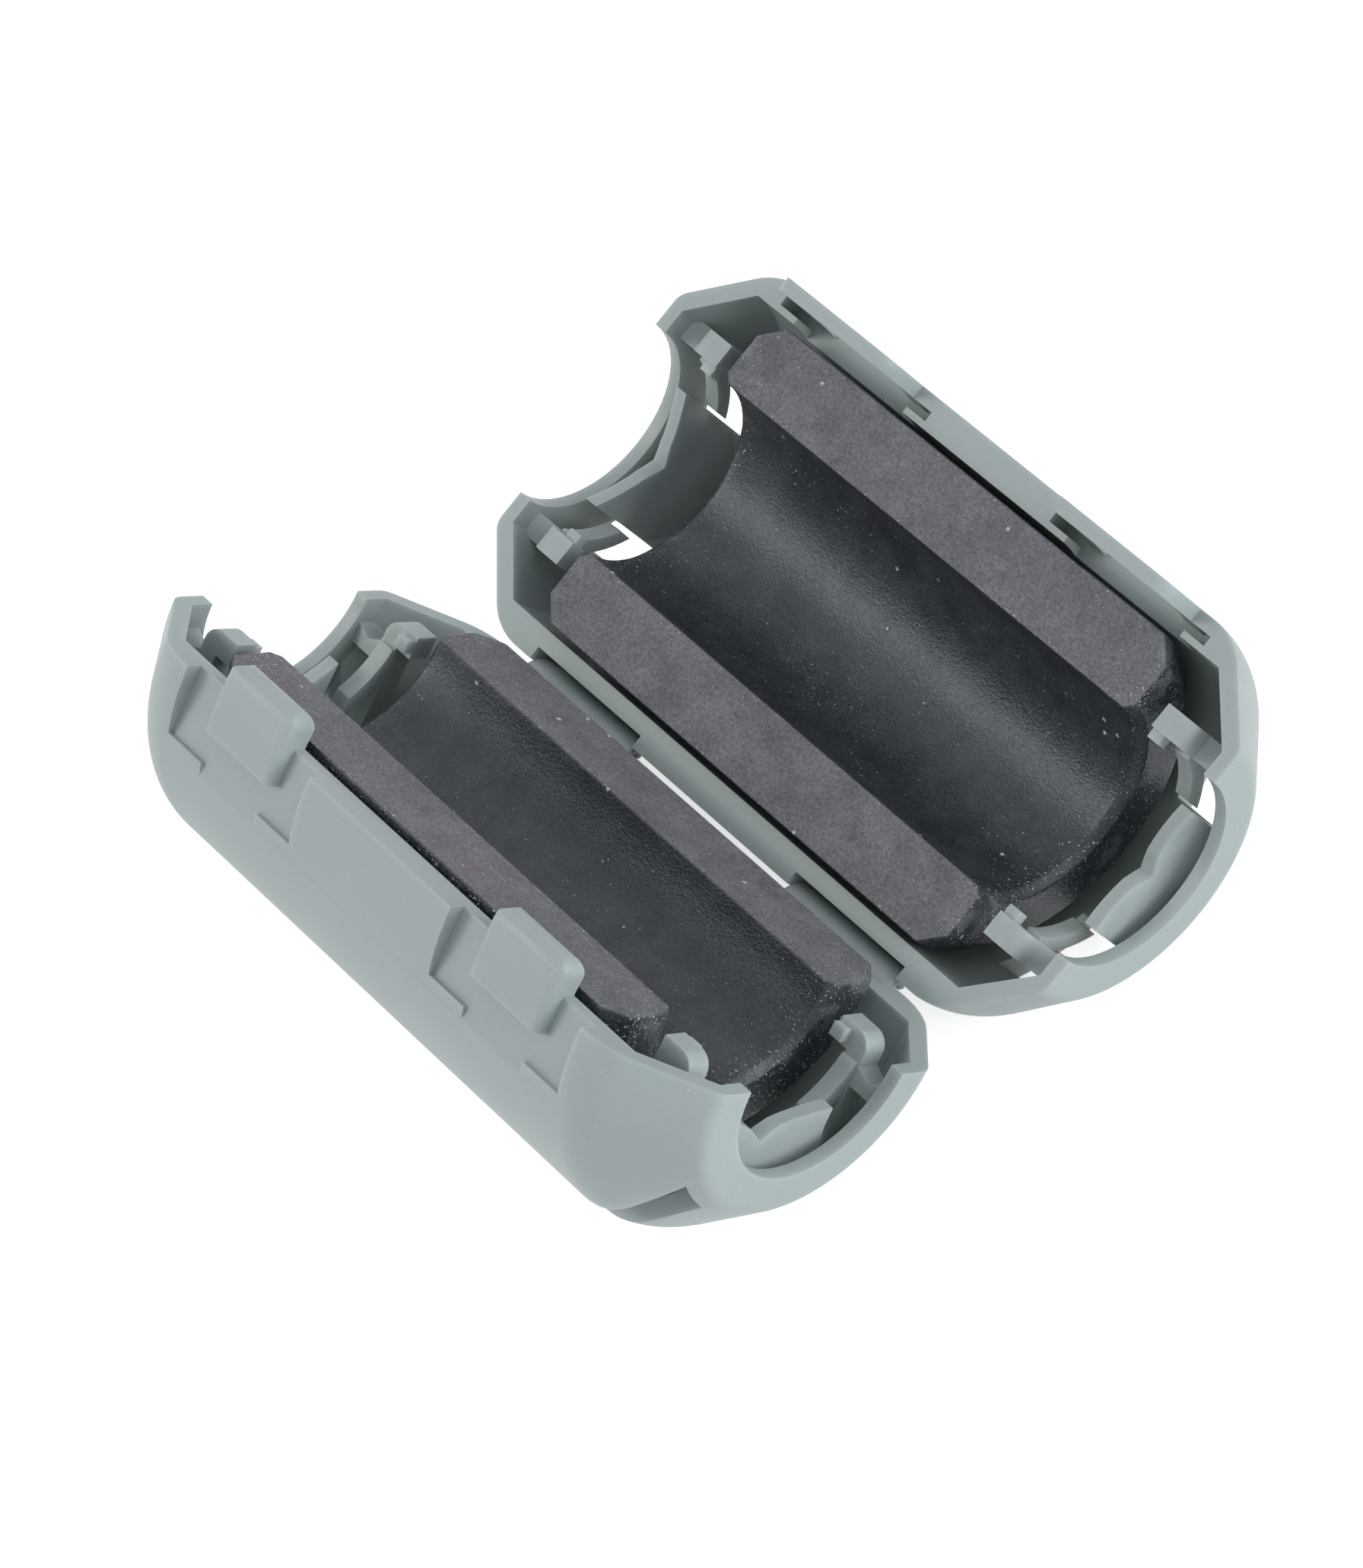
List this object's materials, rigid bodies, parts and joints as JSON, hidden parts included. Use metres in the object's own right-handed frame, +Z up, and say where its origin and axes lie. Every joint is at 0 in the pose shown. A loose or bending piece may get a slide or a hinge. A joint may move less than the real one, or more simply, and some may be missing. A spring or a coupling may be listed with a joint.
{
  "type": "clip-on ferrite bead",
  "caption": "Clip-on ferrite bead lying open: a hinged snap-shut plastic housing that holds a ferrite half-core in each half, to close round a cable.",
  "frame": {"origin": "centre of the bounding box's bottom face: midway along the cable channel, under the hinge, on the surface that both halves rest on", "axes": "+X along the cable channels and the hinge, +Y towards the half with the catch loops, +Z up"},
  "size_m": [0.035, 0.036, 0.0177],
  "materials": {
    "housing_plastic": "satin",
    "strap_plastic": "satin",
    "ferrite": "matte"
  },
  "bodies": {
    "catch_half": {"catch_half": "housing_plastic", "left_loop": "housing_plastic", "right_loop": "housing_plastic", "left_strap": "strap_plastic", "right_strap": "strap_plastic"},
    "latch_half": {"latch_half": "housing_plastic"},
    "catch_core": {"catch_core": "ferrite"},
    "latch_core": {"latch_core": "ferrite"}
  },
  "joints": [
    {"name": "housing_hinge", "type": "hinge", "parent": "catch_half", "child": "latch_half", "pos_m": [0, 0, 0.00444], "axis": [-1, 0, 0], "range_deg": [-66.6, 113.4], "deforming": ["left_strap", "right_strap", "left_loop", "right_loop"]},
    {"name": "catch_core_float", "type": "slide", "parent": "catch_half", "child": "catch_core", "axis": [0, -0.549, 0.8358], "range_m": [-0.00042, 0.00026]},
    {"name": "latch_core_rock", "type": "hinge", "parent": "latch_half", "child": "latch_core", "pos_m": [0, -0.01715, 0.01567], "axis": [-1, 0, 0], "range_deg": [-1.7, 2.85]}
  ],
  "couplings": [
    {"joint": "catch_core_float", "follows": "housing_hinge", "m_per_rad": -0.0002021},
    {"joint": "latch_core_rock", "follows": "housing_hinge", "ratio": 0.02425}
  ]
}
